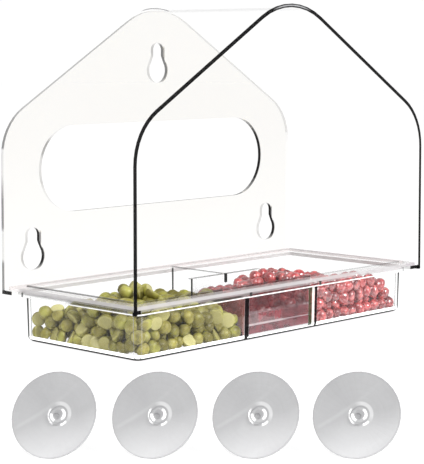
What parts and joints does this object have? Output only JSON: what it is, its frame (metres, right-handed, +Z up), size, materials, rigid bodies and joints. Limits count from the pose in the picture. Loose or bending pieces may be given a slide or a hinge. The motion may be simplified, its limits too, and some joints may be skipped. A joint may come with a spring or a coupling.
{
  "type": "window bird feeder",
  "caption": "Clear window bird feeder: gable hood with a slotted back panel, slide-in feed tray with divided compartments, and loose suction cups for its keyholes.",
  "frame": {"origin": "centre of the tray's underside, the lowest face of the feeder", "axes": "+Z up towards the ridge, +Y out through the back panel towards the window, -Y out of the open front, +X to the right seen from the front"},
  "size_m": [0.4869, 0.3844, 0.2296],
  "materials": {
    "clear_acrylic_sheet": "clear polished sheet, bent",
    "clear_acrylic_panel": "clear polished sheet, cut edges",
    "clear_moulded_styrene": "clear glossy moulding",
    "grey_translucent_vinyl": "soft translucent vinyl, satin"
  },
  "bodies": {
    "hood": {"gable_hood": "clear_acrylic_sheet", "back_panel": "clear_acrylic_panel"},
    "tray": {"feed_tray": "clear_moulded_styrene"},
    "cup_1": {"suction_cup_1": "grey_translucent_vinyl"},
    "cup_2": {"suction_cup_2": "grey_translucent_vinyl"},
    "cup_3": {"suction_cup_3": "grey_translucent_vinyl"},
    "cup_4": {"suction_cup_4": "grey_translucent_vinyl"}
  },
  "joints": [
    {"name": "tray_slide", "type": "slide", "parent": "hood", "child": "tray", "axis": [0, -1, 0], "range_m": [0, 0.12]},
    {"name": "cup_1_lift", "type": "slide", "parent": "hood", "child": "cup_1", "axis": [0, 0, 1], "range_m": [0, 0.1]},
    {"name": "cup_2_lift", "type": "slide", "parent": "hood", "child": "cup_2", "axis": [0, 0, 1], "range_m": [0, 0.1]},
    {"name": "cup_3_lift", "type": "slide", "parent": "hood", "child": "cup_3", "axis": [0, 0, 1], "range_m": [0, 0.1]},
    {"name": "cup_4_lift", "type": "slide", "parent": "hood", "child": "cup_4", "axis": [0, 0, 1], "range_m": [0, 0.1]}
  ]
}
